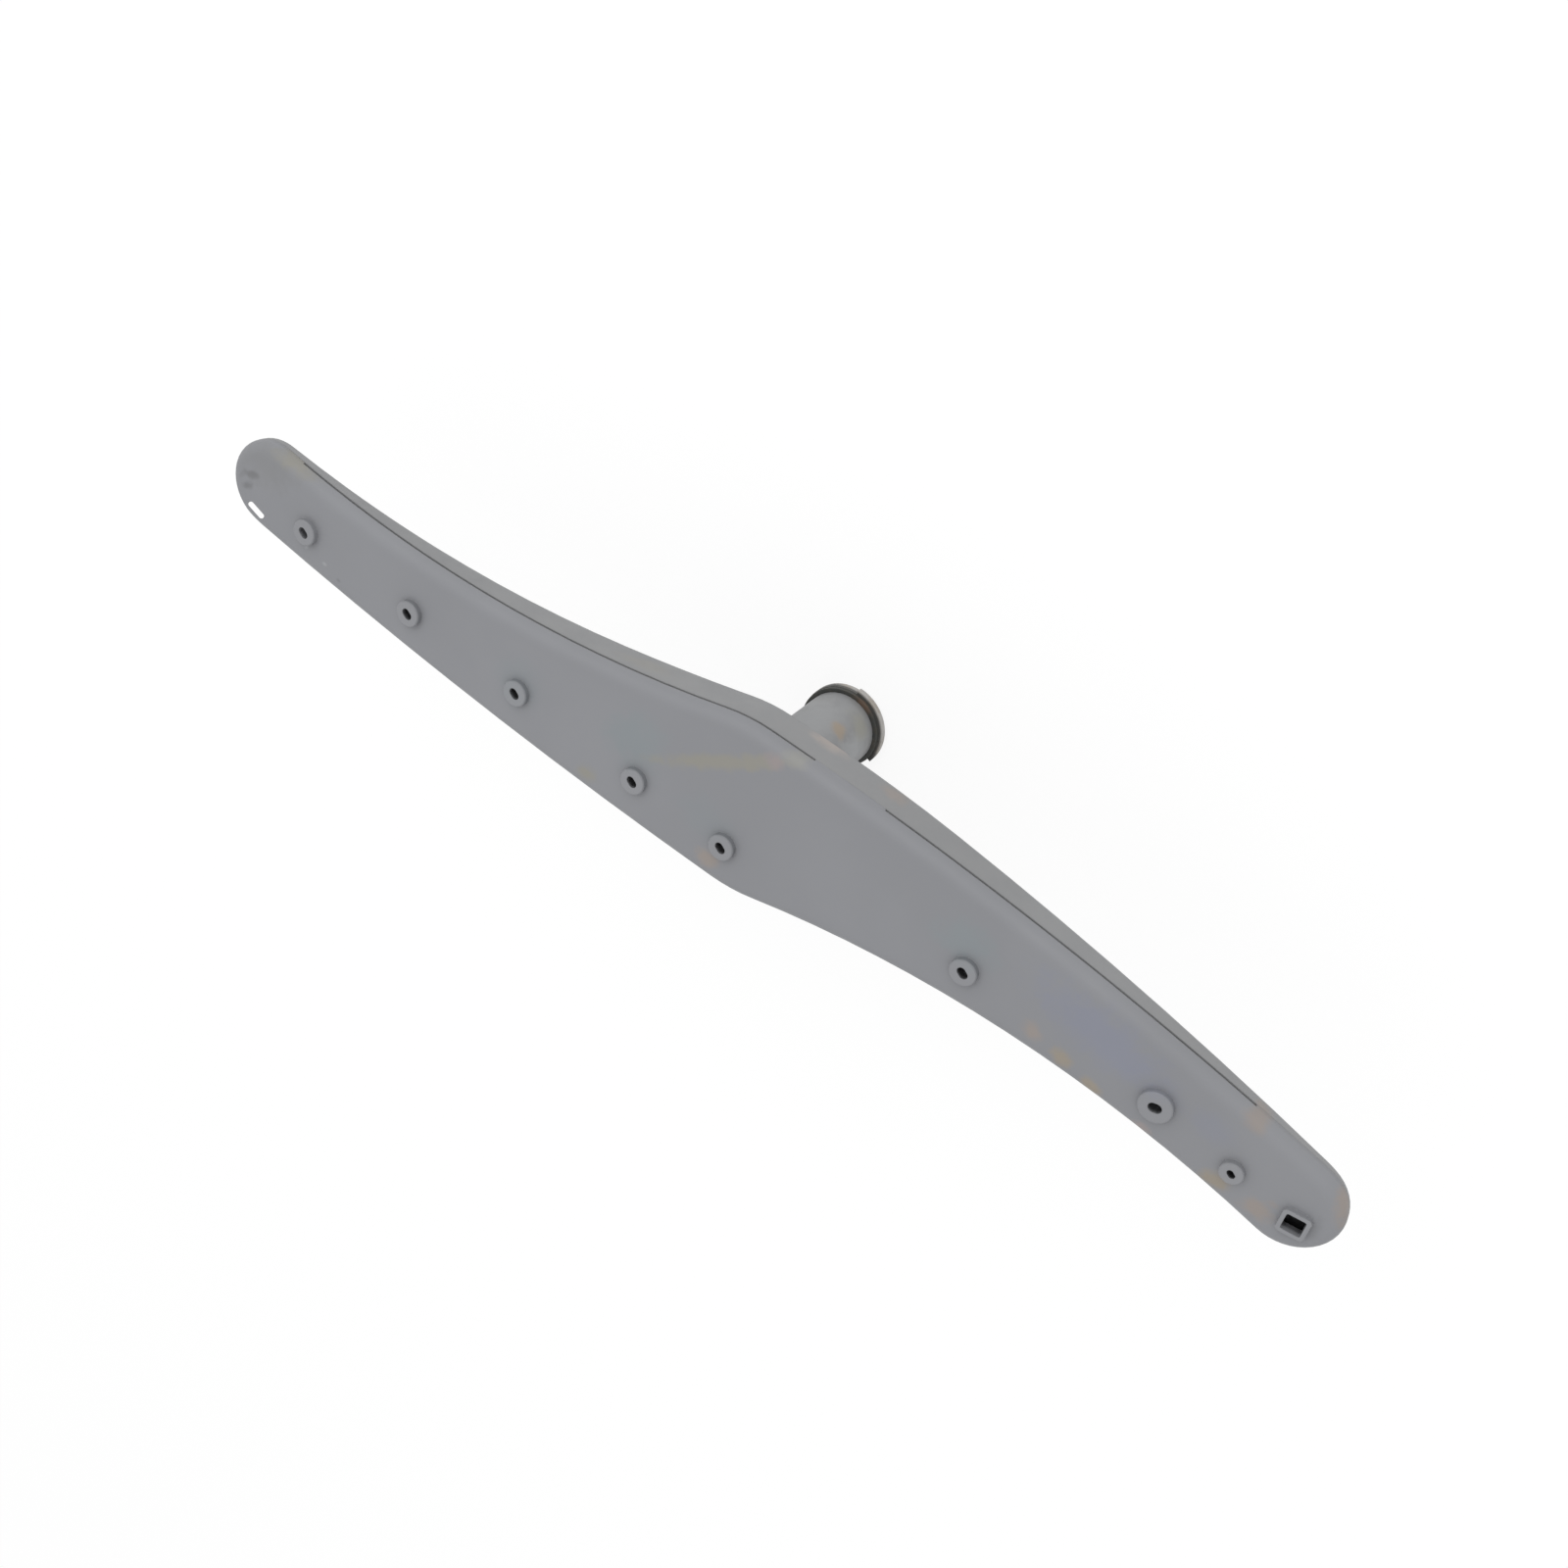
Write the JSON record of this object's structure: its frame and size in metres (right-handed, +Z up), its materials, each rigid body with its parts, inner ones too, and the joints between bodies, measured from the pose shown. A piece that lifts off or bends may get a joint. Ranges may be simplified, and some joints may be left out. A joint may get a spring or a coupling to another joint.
{
  "type": "dishwasher spray arm",
  "caption": "Hollow S-shaped dishwasher spray arm with round nozzle bosses, tip jets and a feed tube that turns in a lugged lock collar.",
  "frame": {"origin": "on the axis of the feed tube, in the plane of the lock collar's underside", "axes": "+Z up along the feed tube to the nozzle face, +X along the arm towards the square jet, +Y towards the edge seen in the picture"},
  "size_m": [0.4606, 0.0634, 0.0844],
  "materials": {
    "face_plastic": "matte moulded grey",
    "back_plastic": "matte moulded grey",
    "bush_plastic": "smooth natural acetal",
    "collar_plastic": "matte moulded pale grey",
    "ring_rubber": "dull black"
  },
  "bodies": {
    "collar": {"lock_collar": "collar_plastic", "wear_ring": "ring_rubber"},
    "arm": {"face_shell": "face_plastic", "back_shell": "back_plastic", "bearing_bush": "bush_plastic"}
  },
  "joints": [
    {"name": "arm_spin", "type": "hinge", "parent": "collar", "child": "arm", "pos_m": [0, 0, 0], "axis": [0, 0, 1], "continuous": true}
  ]
}
